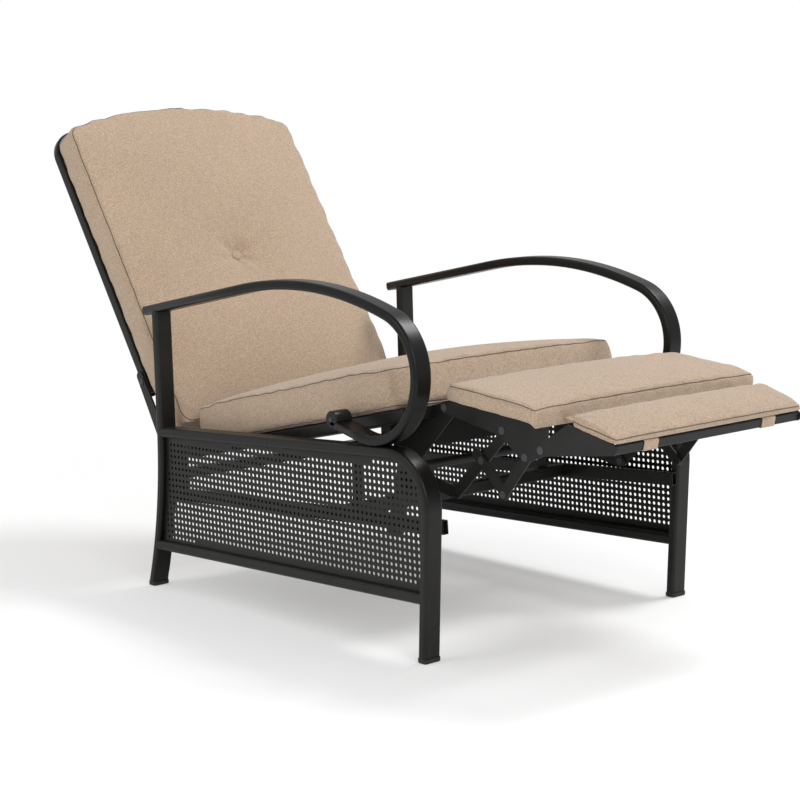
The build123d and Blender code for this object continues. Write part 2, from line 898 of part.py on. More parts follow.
def make_mechanism_plate(side):
    """Plate under the seat's front that carries the footrest's hinge and the crank."""
    front = seat_spot(seat_front_run, -seat_tube - bar_half_width)
    rear = seat_spot(seat_slat_under_run, -seat_slat_thick - bar_half_width)
    discs = [
        (footrest_hinge_y, footrest_hinge_z, bar_half_width),
        (front[0], front[1], bar_half_width),
        (crank_hinge[0], crank_hinge[1], hinge_plate_radius),
        (rear[0], rear[1], bar_half_width),
    ]
    bores = [
        (footrest_hinge_y, footrest_hinge_z, pivot_radius),
        (crank_hinge[0], crank_hinge[1], drive_tube_radius + running_fit),
    ]
    plate = hull_plate(side, seat_layer, plate_thick, discs, bores)
    with BuildPart() as trimmed:
        add(plate)
        add(seat_front_solid, mode=Mode.SUBTRACT)
        with BuildSketch(seat_rest.flat(-seat_slat_thick)):
            with Locations((0, 0)):
                Rectangle(2 * seat_front_run - seat_tube, overall_width)
        extrude(amount=seat_cushion_rise, mode=Mode.SUBTRACT)
    return trimmed.part


seat_slat_under_run = seat_cushion_length * seat_slat_shares[-1] - seat_slat_wide / 2
seat_front_solid = cross_bar(
    seat_spot(seat_front_run, seat_tube_n),
    seat_tube,
    seat_tube,
    -seat_slope,
    seat_inner_half,
    seat_tube_corner,
    0,
)


def make_crank(side):
    discs = [
        (crank_hinge[0], crank_hinge[1], hinge_plate_radius),
        (link_low_y, link_low_z, bar_half_width),
    ]
    bores = [(link_low_y, link_low_z, pivot_radius)]
    return hull_plate(side, crank_layer, plate_thick, discs, bores)


def make_drive_tube():
    with BuildPart() as tube:
        with BuildSketch(Plane.YZ):
            with Locations(crank_hinge):
                Circle(drive_tube_radius)
                Circle(drive_tube_radius - drive_tube_wall, mode=Mode.SUBTRACT)
        extrude(amount=crank_layer, both=True)
    return tube.part


def make_crank_pin(side):
    """Rivet of the open pivot between the crank and the first link."""
    end = crank_layer + plate_thick + stub_length
    return pin(side, link_low, crank_layer, end, pivot_radius, (True, False))


def make_rear_link(side):
    bores = [
        (link_rise_y, link_rise_z, pivot_radius + running_fit),
        (cross_y, cross_z, pivot_radius),
        (link_low_y, link_low_z, pivot_radius + running_fit),
    ]
    return hull_plate(side, link_layer, plate_thick, link_discs([link_rise, link_low]), bores)


def make_cross_pin(side):
    return pin(side, cross_point, link_layer, cross_layer + plate_thick, pivot_radius, (True, True))


def make_cross_link(side):
    end = beyond(dyad_point, cross_point, link_tail)
    bores = [
        (cross_y, cross_z, pivot_radius + running_fit),
        (dyad_y, dyad_z, pivot_radius + running_fit),
    ]
    return hull_plate(side, cross_layer, plate_thick, link_discs([end, dyad_point]), bores)


def make_lift_link(side):
    end = beyond(dyad_point, lift_point, link_tail)
    bores = [
        (lift_y, lift_z, pivot_radius + running_fit),
        (dyad_y, dyad_z, pivot_radius),
    ]
    return hull_plate(side, lift_layer, plate_thick, link_discs([end, dyad_point]), bores)


def make_lift_pin(side):
    """Rivet of the open pivot between the two short links."""
    start = lift_layer - stub_length
    return pin(side, dyad_point, start, lift_layer + plate_thick, pivot_radius, (False, True))


# Footrest
def above(rest, run_length):
    """Block that fills the space above a rest plane."""
    with BuildPart() as block:
        with BuildSketch(rest.flat(0)):
            Rectangle(2 * run_length, overall_width)
        extrude(amount=run_length)
    return block.part


def make_footrest_rail(side):
    """Two-lobed plate: a rail along the pad and a hanger down to the lifting pivots."""
    rear = foot_rest.spot(footrest_rail_rear_run, 0)
    front = foot_rest.spot(footrest_rail_front_run, 0)
    rail = hull_plate(
        side,
        footrest_layer,
        plate_thick,
        link_discs([footrest_hinge, rear, front, link_rise]),
    )
    hanger = hull_plate(
        side,
        footrest_layer,
        plate_thick,
        link_discs([link_rise, lift_point, flap_hinge, front]),
    )
    with BuildPart() as plate:
        add(rail)
        add(hanger)
        add(above(foot_rest, footrest_length + overrun), mode=Mode.SUBTRACT)
        with BuildSketch(Plane.YZ.offset(side * footrest_layer)):
            with Locations(link_rise, flap_hinge):
                Circle(pivot_radius)
            with Locations(lift_point):
                Circle(pivot_radius)
            with Locations(footrest_hinge):
                Circle(pivot_radius + running_fit)
        extrude(amount=side * plate_thick, mode=Mode.SUBTRACT)
    return plate.part


def make_footrest_bars():
    with BuildPart() as bars:
        for share in footrest_bar_shares:
            centre = foot_rest.spot(footrest_length * share, -footrest_bar_thick / 2)
            bar_round = footrest_bar_thick / 4
            add(
                cross_bar(
                    centre,
                    footrest_bar_wide,
                    footrest_bar_thick,
                    footrest_fall,
                    footrest_layer,
                    bar_round,
                    0,
                )
            )
    return bars.part


def make_footrest_pad():
    """Pad with a lip that hangs in front of its rails."""
    block = crowned_block(
        foot_rest,
        0,
        footrest_length,
        0,
        footrest_half,
        footrest_rise,
        footrest_crown,
        footrest_draw,
        pad_station_shares,
    )
    lip_start = footrest_length - footrest_lip_length
    with BuildPart() as pad:
        add(block)
        with BuildSketch(Plane.YZ):
            with BuildLine():
                top = Line(foot_rest.spot(lip_start, 0), foot_rest.spot(footrest_length, 0))
                front = Line(top @ 1, foot_rest.spot(footrest_length - footrest_draw, -footrest_lip_drop))
                low = Line(front @ 1, foot_rest.spot(lip_start + footrest_draw, -footrest_lip_drop))
                Line(low @ 1, top @ 0)
            make_face()
        extrude(amount=footrest_half - 2 * footrest_draw, both=True)
    return pad.part


def make_footrest_rivets():
    top = footrest_layer + plate_thick
    with BuildPart() as rivets:
        for side in sides.values():
            add(pin(side, link_rise, link_layer, top, pivot_radius, (True, True)))
            add(pin(side, lift_point, lift_layer, top, pivot_radius, (True, True)))
            add(pin(side, flap_hinge, footrest_layer, flap_layer + plate_thick, pivot_radius, (True, True)))
    return rivets.part


# Flap
def make_flap_plate(side):
    rear = flap_rest.spot(flap_rear_bar_run, 0)
    bar = flap_rest.spot(flap_bar_run, -flap_bar_drop)
    discs = [
        (flap_hinge_y, flap_hinge_z, bar_half_width),
        (rear[0], rear[1], bar_half_width),
        (bar[0], bar[1], flap_plate_rim),
    ]
    bores = [
        (flap_hinge_y, flap_hinge_z, pivot_radius + running_fit),
    ]
    plate = hull_plate(side, flap_layer, plate_thick, discs, bores)
    return cut_away(plate, [above(flap_rest, flap_length + overrun)])


def make_flap_bars():
    """Front bar and flat rear bar between the flap's plates."""
    bar = flap_rest.spot(flap_bar_run, -flap_bar_drop)
    rear = flap_rest.spot(flap_rear_bar_run + flap_rear_bar_wide / 2, -flap_rear_bar_thick / 2)
    with BuildPart() as bars:
        add(cross_bar(bar, flap_bar_thick, flap_bar_tall, flap_fall, flap_layer, flap_bar_round, 0))
        corner = flap_rear_bar_thick / 4
        add(cross_bar(rear, flap_rear_bar_wide, flap_rear_bar_thick, flap_fall, flap_layer, corner, 0))
    return bars.part


def make_flap_pad():
    return crowned_block(
        flap_rest,
        0,
        flap_length,
        0,
        flap_half,
        flap_rise,
        flap_crown,
        flap_draw,
        flap_station_shares,
    )


def make_flap_straps():
    """Cloth loops round the front bar that hold the flap's pad."""
    bar = flap_rest.spot(flap_bar_run, -flap_bar_drop)
    inner = (flap_bar_thick + 2 * seat_gap, flap_bar_tall + 2 * seat_gap)
    outer = (inner[0] + 2 * strap_thick, inner[1] + 2 * strap_thick)
    with BuildPart() as straps:
        for side in sides.values():
            with BuildSketch(Plane.YZ.offset(side * strap_x - strap_half_width)):
                with Locations(bar):
                    RectangleRounded(*outer, flap_bar_round + strap_thick, rotation=flap_fall)
                    RectangleRounded(*inner, flap_bar_round, rotation=flap_fall, mode=Mode.SUBTRACT)
            extrude(amount=2 * strap_half_width)
    return straps.part


# Back
back_plane = Plane(
    origin=back_rest.at(0, back_tube_n), x_dir=(1, 0, 0), z_dir=back_rest.up
)


def make_back_side_tube(side):
    with BuildPart() as tube:
        with BuildSketch(back_rest.section(back_tube_low_u, back_tube_n)):
            with Locations((-side * back_tube_x, 0)):
                RectangleRounded(back_tube, back_tube, back_tube_corner)
                inside = back_tube - 2 * back_tube_wall
                RectangleRounded(inside, inside, back_tube_corner - back_tube_wall, mode=Mode.SUBTRACT)
        extrude(amount=back_tube_high_u - back_tube_low_u)
    return tube.part


def make_back_top_tube():
    """Arched tube over the top of the back, with a bent corner at each end."""
    inner_x = back_tube_x - back_tube_corner_radius
    corner_u = back_tube_high_u + back_tube_corner_radius
    lean = degrees(2 * atan2(back_tube_arch, inner_x))
    turn = 90 - lean
    side_x = back_tube_corner_radius * (1 - cos(radians(turn)))
    shoulder_x = back_tube_x - side_x
    shoulder_u = back_tube_high_u + back_tube_corner_radius * sin(radians(turn))
    crest_u = shoulder_u + shoulder_x * tan(radians(lean) / 2)
    with BuildPart() as tube:
        with BuildLine(back_plane) as line:
            corner = JernArc((-back_tube_x, back_tube_high_u), (0, 1), back_tube_corner_radius, -turn)
            arch = ThreePointArc(corner @ 1, (0, crest_u), (shoulder_x, shoulder_u))
            JernArc(arch @ 1, arch % 1, back_tube_corner_radius, -turn)
        path = line.wires()[0]
        with BuildSketch(Plane(origin=path @ 0, x_dir=back_rest.up, z_dir=path % 0)):
            RectangleRounded(back_tube, back_tube, back_tube_corner)
            inside = back_tube - 2 * back_tube_wall
            RectangleRounded(inside, inside, back_tube_corner - back_tube_wall, mode=Mode.SUBTRACT)
        sweep(path=path)
    return tube.part


def make_back_slats():
    length = back_tube_high_u
    with BuildPart() as slats:
        for share in back_slat_shares:
            centre = back_rest.spot(length * share + back_tube_low_u / 2, back_slat_n)
            add(
                cross_bar(
                    centre,
                    back_slat_thick,
                    back_slat_wide,
                    -back_recline,
                    back_tube_x - back_tube / 2,
                    back_slat_thick / 4,
                    0,
                )
            )
    return slats.part


back_face_n = back_tube_n + back_tube / 2
back_slat_n = back_face_n - back_slat_thick / 2


def make_back_bracket(side):
    top = back_rest.spot(back_bracket_top_u, back_tube_n)
    bolt = back_rest.spot(back_bolt_u, back_tube_n)
    discs = [
        (back_hinge_y, back_hinge_z, hinge_plate_radius),
        (top[0], top[1], back_tube / 2),
    ]
    bores = [
        (back_hinge_y, back_hinge_z, hinge_pin_radius + running_fit),
        (bolt[0], bolt[1], pivot_radius),
    ]
    return hull_plate(side, bracket_inner, hinge_plate_thick, discs, bores)


def make_back_bolt(side):
    """Screw that holds the bracket, through it and into the side tube."""
    bolt = back_rest.spot(back_bolt_u, back_tube_n)
    end = bracket_inner + hinge_plate_thick
    return pin(side, bolt, bracket_inner, end, pivot_radius, (False, True))


def make_back_cushion():
    length = back_cushion_top_u - back_cushion_low_u
    block = crowned_block(
        back_rest,
        back_cushion_low_u,
        length,
        back_face_n,
        back_cushion_half,
        back_cushion_rise,
        back_cushion_crown,
        back_cushion_draw,
        back_station_shares,
    )
    reach = back_cushion_half + overrun
    side_x = back_cushion_half
    side_u = back_cushion_side_u
    corner = back_cushion_corner
    bulge = corner * (1 - cos(radians(45)))
    depth = back_face_n + back_cushion_rise + back_cushion_crown + overrun
    with BuildPart() as cushion:
        add(block)
        with BuildSketch(Plane(origin=back_rest.at(0, 0), x_dir=(1, 0, 0), z_dir=back_rest.up)):
            with BuildLine():
                base = Line((-reach, 0), (reach, 0))
                right = Line(base @ 1, (reach, side_u - corner))
                step = Line(right @ 1, (side_x, side_u - corner))
                turn = ThreePointArc(step @ 1, (side_x - bulge, side_u - bulge), (side_x - corner, side_u))
                arch = ThreePointArc(turn @ 1, (0, back_cushion_top_u), (corner - side_x, side_u))
                back_turn = ThreePointArc(
                    arch @ 1, (bulge - side_x, side_u - bulge), (-side_x, side_u - corner)
                )
                back_step = Line(back_turn @ 1, (-reach, side_u - corner))
                Line(back_step @ 1, base @ 0)
            make_face()
        extrude(amount=depth, mode=Mode.INTERSECT)
        with Locations(back_rest.at(button_u, dimple_n)):
            Sphere(dimple_radius, mode=Mode.SUBTRACT)
    return cushion.part


button_floor_n = back_face_n + back_cushion_rise + back_cushion_crown - dimple_depth
dimple_n = button_floor_n + dimple_radius


def make_back_button():
    sag = dimple_radius - (dimple_radius ** 2 - button_radius ** 2) ** 0.5
    base = button_floor_n + sag + seat_gap
    with BuildPart() as button:
        with BuildSketch(Plane(origin=back_rest.at(button_u, base), x_dir=(1, 0, 0), z_dir=back_rest.up)):
            Circle(button_radius)
        extrude(amount=button_thick)
        top = button.edges().sort_by(Axis(back_rest.at(button_u, base), back_rest.up))[-1]
        fillet(top, button_round)
    return button.part


def make_seat_pins():
    """Hinge pins of the seat and back, the footrest's hinge rivets and the open pivots' stubs."""
    top = footrest_layer + plate_thick
    with BuildPart() as pins:
        for side in sides.values():
            add(pin(side, seat_hinge, ear_inner, side_inner - seat_gap, hinge_pin_radius, (False, False)))
            bracket_outer = bracket_inner + hinge_plate_thick
            add(pin(side, back_hinge, ear_inner, bracket_outer, hinge_pin_radius, (False, False)))
            add(pin(side, footrest_hinge, seat_layer, top, pivot_radius, (True, True)))
            add(pin(side, seat_link_point, lug_inner - stub_length, lug_inner, pivot_radius, (False, False)))
    return pins.part


def main():
    for name, side in sides.items():
        save(make_rear_leg(side), f"rear_leg_{name}")
        save(make_rail_leg(side), f"rail_leg_{name}")
        save(make_bottom_rail(side), f"bottom_rail_{name}")
        save(make_arm(side), f"arm_{name}")
        save(make_side_panel(side), f"side_panel_{name}")
        save(make_mounting_rail(side), f"mounting_rail_{name}")
        save(make_seat_side_tube(side), f"seat_side_tube_{name}")
        save(make_mechanism_plate(side), f"mechanism_plate_{name}")
        save(make_footrest_rail(side), f"footrest_rail_{name}")
        save(make_flap_plate(side), f"flap_plate_{name}")
        save(make_back_side_tube(side), f"back_side_tube_{name}")
        save(make_back_bracket(side), f"back_bracket_{name}")
    save(make_front_cross_rail(), "front_cross_rail")
    save(make_rear_cross_rail(), "rear_cross_rail")
    save(make_foot_glides(), "foot_glides")
    save(make_arm_end_caps(), "arm_end_caps")
    save(both_sides(make_arm_screws), "arm_screws")
    save(both_sides(make_hinge_bracket), "hinge_brackets")
    save(both_sides(make_lift_bracket), "lift_brackets")
    save(both_sides(make_bracket_pin), "bracket_pins")
    save(make_seat_cross_tube(seat_front_run), "seat_front_tube")
    save(make_seat_cross_tube(seat_rear_run), "seat_rear_tube")
    save(make_seat_slats(), "seat_slats")
    save(make_seat_cushion(), "seat_cushion")
    save(both_sides(make_seat_ear), "seat_ears")
    save(both_sides(make_seat_lug), "seat_lugs")
    save(make_seat_pins(), "seat_pins")
    save(both_sides(make_seat_link), "seat_links")
    save(both_sides(make_crank), "cranks")
    save(make_drive_tube(), "drive_tube")
    save(both_sides(make_crank_pin), "crank_pins")
    save(both_sides(make_rear_link), "rear_links")
    save(both_sides(make_cross_pin), "cross_pins")
    save(both_sides(make_cross_link), "cross_links")
    save(both_sides(make_lift_link), "lift_links")
    save(both_sides(make_lift_pin), "lift_pins")
    save(make_footrest_bars(), "footrest_bars")
    save(make_footrest_pad(), "footrest_pad")
    save(make_footrest_rivets(), "footrest_rivets")
    save(make_flap_bars(), "flap_bars")
    save(make_flap_pad(), "flap_pad")
    save(make_flap_straps(), "flap_straps")
    save(make_back_top_tube(), "back_top_tube")
    save(make_back_slats(), "back_slats")
    save(make_back_cushion(), "back_cushion")
    save(make_back_button(), "back_button")
    save(both_sides(make_back_bolt), "back_bolts")


main()
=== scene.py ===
import json
import math

import bpy
from mathutils import Matrix, Vector
from mathutils.bvhtree import BVHTree
from mathutils.kdtree import KDTree


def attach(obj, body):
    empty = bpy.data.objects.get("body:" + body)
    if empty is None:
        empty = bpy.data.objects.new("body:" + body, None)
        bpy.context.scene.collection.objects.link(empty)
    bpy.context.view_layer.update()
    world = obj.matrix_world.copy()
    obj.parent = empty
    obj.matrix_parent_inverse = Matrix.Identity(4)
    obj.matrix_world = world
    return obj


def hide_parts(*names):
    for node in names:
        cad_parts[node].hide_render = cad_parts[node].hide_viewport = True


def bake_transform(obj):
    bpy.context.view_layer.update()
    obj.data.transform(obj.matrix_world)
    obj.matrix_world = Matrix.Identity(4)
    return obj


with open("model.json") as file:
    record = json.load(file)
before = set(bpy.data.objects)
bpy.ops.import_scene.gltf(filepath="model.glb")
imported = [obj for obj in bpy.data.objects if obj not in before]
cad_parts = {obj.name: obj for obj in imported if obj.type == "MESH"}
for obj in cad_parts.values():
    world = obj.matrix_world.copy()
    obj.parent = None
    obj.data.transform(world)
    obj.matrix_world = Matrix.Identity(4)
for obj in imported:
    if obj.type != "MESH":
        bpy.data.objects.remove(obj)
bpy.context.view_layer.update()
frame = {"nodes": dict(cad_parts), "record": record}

# Sizes in metres and headings in degrees, from the CAD source
tube_half = 0.0095
rear_leg_y, bend_height, leg_bend = 0.349, 0.330, 18.6
rail_rear, rail_slope = 0.3215, 3.05
low_rail_rear, low_rail_slope, low_rail_half = 0.0894, 1.75, 0.010
corner_y, corner_radius, corner_turn = -0.353, 0.0885, 96.5
arm_x, arm_half_x, arm_half_n, arm_corner = 0.321, 0.019, 0.009, 0.006
back_half, back_crown = 0.282, 0.022
cad_button_run, cad_dimple_reach = 0.466, 0.040


def direction(angle):
    return Vector((0.0, math.cos(math.radians(angle)), math.sin(math.radians(angle))))


class Rest:
    """Plane across the chair that a cushion lies on."""

    def __init__(self, y, z, heading, face, base):
        self.start = Vector((0.0, y, z))
        self.run = direction(heading)
        self.up = direction(heading - 90 * face)
        self.base = base

    def local(self, p):
        q = p - self.start
        return q.x, q.dot(self.run), q.dot(self.up) - self.base

    def world(self, x, run, rise):
        return self.start + Vector((x, 0.0, 0.0)) + self.run * run + self.up * (rise + self.base)


seat_rest = Rest(0.282, 0.299, 180 - 12, 1, 0.0)
back_rest = Rest(0.390, 0.282, 90 - 33, -1, 0.014)
foot_rest = Rest(-0.441, 0.453, 180 + 5.63, 1, 0.0)
flap_rest = Rest(-0.696, 0.429, 180 + 12, 1, 0.0)


# Materials
def new_material(name):
    m = bpy.data.materials.new(name)
    m.use_nodes = True
    tree = m.node_tree
    tree.nodes.clear()
    out = tree.nodes.new("ShaderNodeOutputMaterial")
    shader = tree.nodes.new("ShaderNodeBsdfPrincipled")
    tree.links.new(shader.outputs["BSDF"], out.inputs["Surface"])
    return m, tree, shader


def node(tree, kind, **values):
    n = tree.nodes.new(kind)
    for key, value in values.items():
        if hasattr(n, key):
            setattr(n, key, value)
        else:
            n.inputs[key.replace("_", " ")].default_value = value
    return n


def ramp(tree, stops):
    n = tree.nodes.new("ShaderNodeValToRGB")
    while len(n.color_ramp.elements) < len(stops):
        n.color_ramp.elements.new(0.5)
    for element, (place, colour) in zip(n.color_ramp.elements, stops):
        element.position = place
        element.color = (*colour, 1.0)
    return n


def metal(name, colour, worn, rough, grain_scale, grain):
    """Powder-coated metal: fine orange peel, soft sheen, rubbed edges and a little dust."""
    m, tree, shader = new_material(name)
    link = tree.links.new
    where = tree.nodes.new("ShaderNodeTexCoord")
    peel = node(tree, "ShaderNodeTexNoise", Scale=grain_scale, Detail=3.0, Roughness=0.55)
    blotch = node(tree, "ShaderNodeTexNoise", Scale=9.0, Detail=4.0, Roughness=0.6)
    for t in (peel, blotch):
        link(where.outputs["Object"], t.inputs["Vector"])
    geometry = tree.nodes.new("ShaderNodeNewGeometry")
    edge = ramp(tree, [(0.50, (0, 0, 0)), (0.58, (1, 1, 1))])
    link(geometry.outputs["Pointiness"], edge.inputs["Fac"])
    wear = node(tree, "ShaderNodeMath", operation="MULTIPLY")
    link(edge.outputs["Color"], wear.inputs[0])
    link(blotch.outputs["Fac"], wear.inputs[1])
    tint = ramp(tree, [(0.3, [c * 0.82 for c in colour]), (0.7, [c * 1.22 for c in colour])])
    link(blotch.outputs["Fac"], tint.inputs["Fac"])
    mix = node(tree, "ShaderNodeMix", data_type="RGBA")
    link(wear.outputs["Value"], mix.inputs["Factor"])
    link(tint.outputs["Color"], mix.inputs["A"])
    mix.inputs["B"].default_value = (*worn, 1.0)
    link(mix.outputs["Result"], shader.inputs["Base Color"])
    gloss = node(tree, "ShaderNodeMapRange", To_Min=rough - 0.06, To_Max=rough + 0.10)
    link(blotch.outputs["Fac"], gloss.inputs["Value"])
    link(gloss.outputs["Result"], shader.inputs["Roughness"])
    bump = node(tree, "ShaderNodeBump", Strength=grain, Distance=0.0004)
    link(peel.outputs["Fac"], bump.inputs["Height"])
    link(bump.outputs["Normal"], shader.inputs["Normal"])
    shader.inputs["Specular IOR Level"].default_value = 0.20
    return m


def cloth(name, light, dark, pitch):
    """Heathered plain weave: crossing yarns in relief, slubs, and a soft sheen."""
    m, tree, shader = new_material(name)
    link = tree.links.new
    where = tree.nodes.new("ShaderNodeTexCoord")
    weaves = []
    for turn in ((0.0, 0.0, math.radians(45)), (0.0, 0.0, math.radians(-45))):
        mapping = tree.nodes.new("ShaderNodeMapping")
        mapping.inputs["Rotation"].default_value = turn
        link(where.outputs["Object"], mapping.inputs["Vector"])
        wave = node(tree, "ShaderNodeTexWave", Scale=1.0 / pitch, Distortion=0.9, Detail=2.0)
        wave.inputs["Detail Scale"].default_value = 2.0
        link(mapping.outputs["Vector"], wave.inputs["Vector"])
        weaves.append(wave)
    weave = node(tree, "ShaderNodeMath", operation="MAXIMUM")
    link(weaves[0].outputs["Fac"], weave.inputs[0])
    link(weaves[1].outputs["Fac"], weave.inputs[1])
    slub = node(tree, "ShaderNodeTexNoise", Scale=430.0, Detail=4.0, Roughness=0.75)
    fade = node(tree, "ShaderNodeTexNoise", Scale=5.0, Detail=3.0, Roughness=0.5)
    for t in (slub, fade):
        link(where.outputs["Object"], t.inputs["Vector"])
    heather = ramp(tree, [(0.36, dark), (0.50, [(a + b) / 2 for a, b in zip(light, dark)]), (0.62, light)])
    link(slub.outputs["Fac"], heather.inputs["Fac"])
    shade = node(tree, "ShaderNodeMix", data_type="RGBA", blend_type="MULTIPLY")
    shade.inputs["Factor"].default_value = 0.35
    tone = ramp(tree, [(0.25, (0.84, 0.83, 0.81)), (0.70, (1.0, 1.0, 1.0))])
    link(fade.outputs["Fac"], tone.inputs["Fac"])
    link(heather.outputs["Color"], shade.inputs["A"])
    link(tone.outputs["Color"], shade.inputs["B"])
    link(shade.outputs["Result"], shader.inputs["Base Color"])
    height = node(tree, "ShaderNodeMath", operation="MULTIPLY_ADD")
    link(slub.outputs["Fac"], height.inputs[0])
    height.inputs[1].default_value = 0.8
    link(weave.outputs["Value"], height.inputs[2])
    bump = node(tree, "ShaderNodeBump", Strength=0.55, Distance=0.0005)
    link(height.outputs["Value"], bump.inputs["Height"])
    link(bump.outputs["Normal"], shader.inputs["Normal"])
    shader.inputs["Roughness"].default_value = 0.92
    shader.inputs["Sheen Weight"].default_value = 0.25
    shader.inputs["Sheen Roughness"].default_value = 0.5
    shader.inputs["Specular IOR Level"].default_value = 0.2
    return m


coat = metal("powder_coat", (0.0042, 0.0042, 0.0038), (0.022, 0.022, 0.020), 0.30, 900.0, 0.20)
links_coat = metal("black_steel", (0.0030, 0.0030, 0.0029), (0.026, 0.026, 0.025), 0.42, 1300.0, 0.15)
zinc = metal("black_rivets", (0.012, 0.012, 0.012), (0.09, 0.09, 0.09), 0.30, 1500.0, 0.10)
plug = metal("black_plastic", (0.014, 0.014, 0.014), (0.04, 0.04, 0.04), 0.55, 1800.0, 0.25)
fabric = cloth("beige_weave", (0.560, 0.418, 0.300), (0.300, 0.216, 0.150), 0.0021)
thread = cloth("seam_thread", (0.400, 0.295, 0.205), (0.240, 0.172, 0.118), 0.0008)
# Dark cloth for the seam welts: painted shadow in the seams
shade = cloth("seam_shadow", (0.150, 0.108, 0.075), (0.090, 0.064, 0.044), 0.0008)

finishes = {
    "powder_coat": coat,
    "dark_steel": links_coat,
    "cushion_cloth": fabric,
    "black_plastic": plug,
    "steel_fasteners": zinc,
}
record_slots = {s["node"]: s["material_slot"] for s in frame["record"]["subparts"]}
for name, obj in frame["nodes"].items():
    obj.data.materials.clear()
    obj.data.materials.append(finishes[record_slots[name]])


def piece(name, vertices, faces, material, body, smooth=True):
    mesh = bpy.data.meshes.new(name)
    mesh.from_pydata([tuple(v) for v in vertices], [], faces)
    mesh.update()
    mesh.materials.append(material)
    if smooth:
        for f in mesh.polygons:
            f.use_smooth = True
    obj = bpy.data.objects.new(name, mesh)
    bpy.context.scene.collection.objects.link(obj)
    if body:
        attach(obj, body)
    return obj


def skin(rings, ring):
    """Faces around a closed body of several rings of points, and over its two ends."""
    faces = []
    for i in range(rings - 1):
        for k in range(ring):
            n = (k + 1) % ring
            faces.append([i * ring + k, i * ring + n, (i + 1) * ring + n, (i + 1) * ring + k])
    last = (rings - 1) * ring
    faces.append([ring - 1 - k for k in range(ring)])
    faces.append([last + k for k in range(ring)])
    return faces


# Perforated side panels at their real hole spacing
panel_x, panel_height, panel_slope = 0.3286, 0.225, 1.4
hole_pitch, row_pitch, hole_radius, hole_sides = 0.01233, 0.01186, 0.00325, 12
hole_room, sheet = 0.0085, 0.0012
rows_each_way, holes_each_way = 12, 38

leg_radius = bend_height / math.sin(math.radians(leg_bend))
rail_climb = math.tan(math.radians(rail_slope))
low_rail_climb = math.tan(math.radians(low_rail_slope))
rail_heading = 180 - rail_slope
leg_heading = rail_heading + corner_turn
corner_start = Vector((0, corner_y, rail_rear + (rear_leg_y - corner_y) * rail_climb))
corner_centre = corner_start + direction(rail_heading + 90) * corner_radius
leg_top = corner_centre + direction(leg_heading - 90) * corner_radius
leg_way = direction(leg_heading)


def panel_room(y, z):
    """Distance from a point of the panel to the nearest tube's surface."""
    back = rear_leg_y
    if z < bend_height:
        back += leg_radius * (1 - math.cos(math.asin((bend_height - z) / leg_radius)))
    front = leg_top.y + (z - leg_top.z) * leg_way.y / leg_way.z
    below = z - (low_rail_rear + (rear_leg_y - y) * low_rail_climb) - low_rail_half
    above = rail_rear + (rear_leg_y - y) * rail_climb - z - tube_half
    room = min(below, above, back - y - tube_half, y - front - tube_half)
    if y < corner_centre.y and z > corner_centre.z:
        reach = math.hypot(y - corner_centre.y, z - corner_centre.z)
        room = min(room, corner_radius - tube_half - reach)
    return room


def side_panel(name, side):
    """Sheet of square cells, each with a round hole unless a tube is near."""
    slope = math.radians(panel_slope)
    middle = Vector((0, (rear_leg_y + leg_top.y) / 2, panel_height))
    along = Vector((0, math.cos(slope), -math.sin(slope)))
    up = Vector((0, math.sin(slope), math.cos(slope)))
    vertices, faces, seen = [], [], {}

    def point(a, b):
        key = (round(a, 6), round(b, 6))
        if key not in seen:
            seen[key] = len(vertices)
            p = middle + along * a + up * b
            vertices.append((side * panel_x, p.y, p.z))
        return seen[key]

    def plain_cell(a, b):
        corners = [(-1, -1), (1, -1), (1, 1), (-1, 1)]
        faces.append([point(a + s * hole_pitch / 2, b + t * row_pitch / 2) for s, t in corners])

    def holed_cell(a, b):
        outer, inner = [], []
        for k in range(hole_sides):
            angle = 2 * math.pi * k / hole_sides + math.pi / 4
            c, s = math.cos(angle), math.sin(angle)
            reach = 1 / max(abs(c), abs(s))
            outer.append(point(a + c * reach * hole_pitch / 2, b + s * reach * row_pitch / 2))
            inner.append(point(a + c * hole_radius, b + s * hole_radius))
        for k in range(hole_sides):
            n = (k + 1) % hole_sides
            faces.append([outer[k], outer[n], inner[n], inner[k]])

    for row in range(-rows_each_way, rows_each_way + 1):
        for column in range(-holes_each_way, holes_each_way + 1):
            a, b = column * hole_pitch, row * row_pitch
            centre = middle + along * a + up * b
            room = panel_room(centre.y, centre.z)
            if room >= hole_room:
                holed_cell(a, b)
            elif room >= -tube_half:
                plain_cell(a, b)
    panel = piece(name, vertices, faces, coat, "base", smooth=False)
    solid = panel.modifiers.new("sheet", "SOLIDIFY")
    solid.thickness = sheet
    solid.offset = 0
    return panel


for name, side in (("right", -1), ("left", 1)):
    panel = side_panel(f"perforated_panel_{name}", side)
    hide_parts(f"side_panel_{name}")


# Arms: one bent tube each, with a round knuckle at the tip of the scroll
arm_rear, arm_front, arm_heading = (0.386, 0.5638), (0.066, 0.6225), 169.6
arm_bends = ((0.950, 10.4, 10), (0.800, 18.0, 14), (0.107, 72.0, 20), (0.122, 104.0, 30))
arm_tail, knuckle_rise = 0.076, 0.0065
knuckle_ring, screw_ring = 40, 24
half_knuckle = [(-0.0190, 0.0125), (-0.0183, 0.0143), (-0.0165, 0.0155)]
knuckle_profile = half_knuckle + [(-x, radius) for x, radius in reversed(half_knuckle)]
screw_profile = [(-0.0004, 0.0045), (0.0010, 0.0045), (0.0015, 0.0036)]
cap_steps = ((-0.0020, 0.0006), (-0.0015, 0.0), (0.0, 0.0))


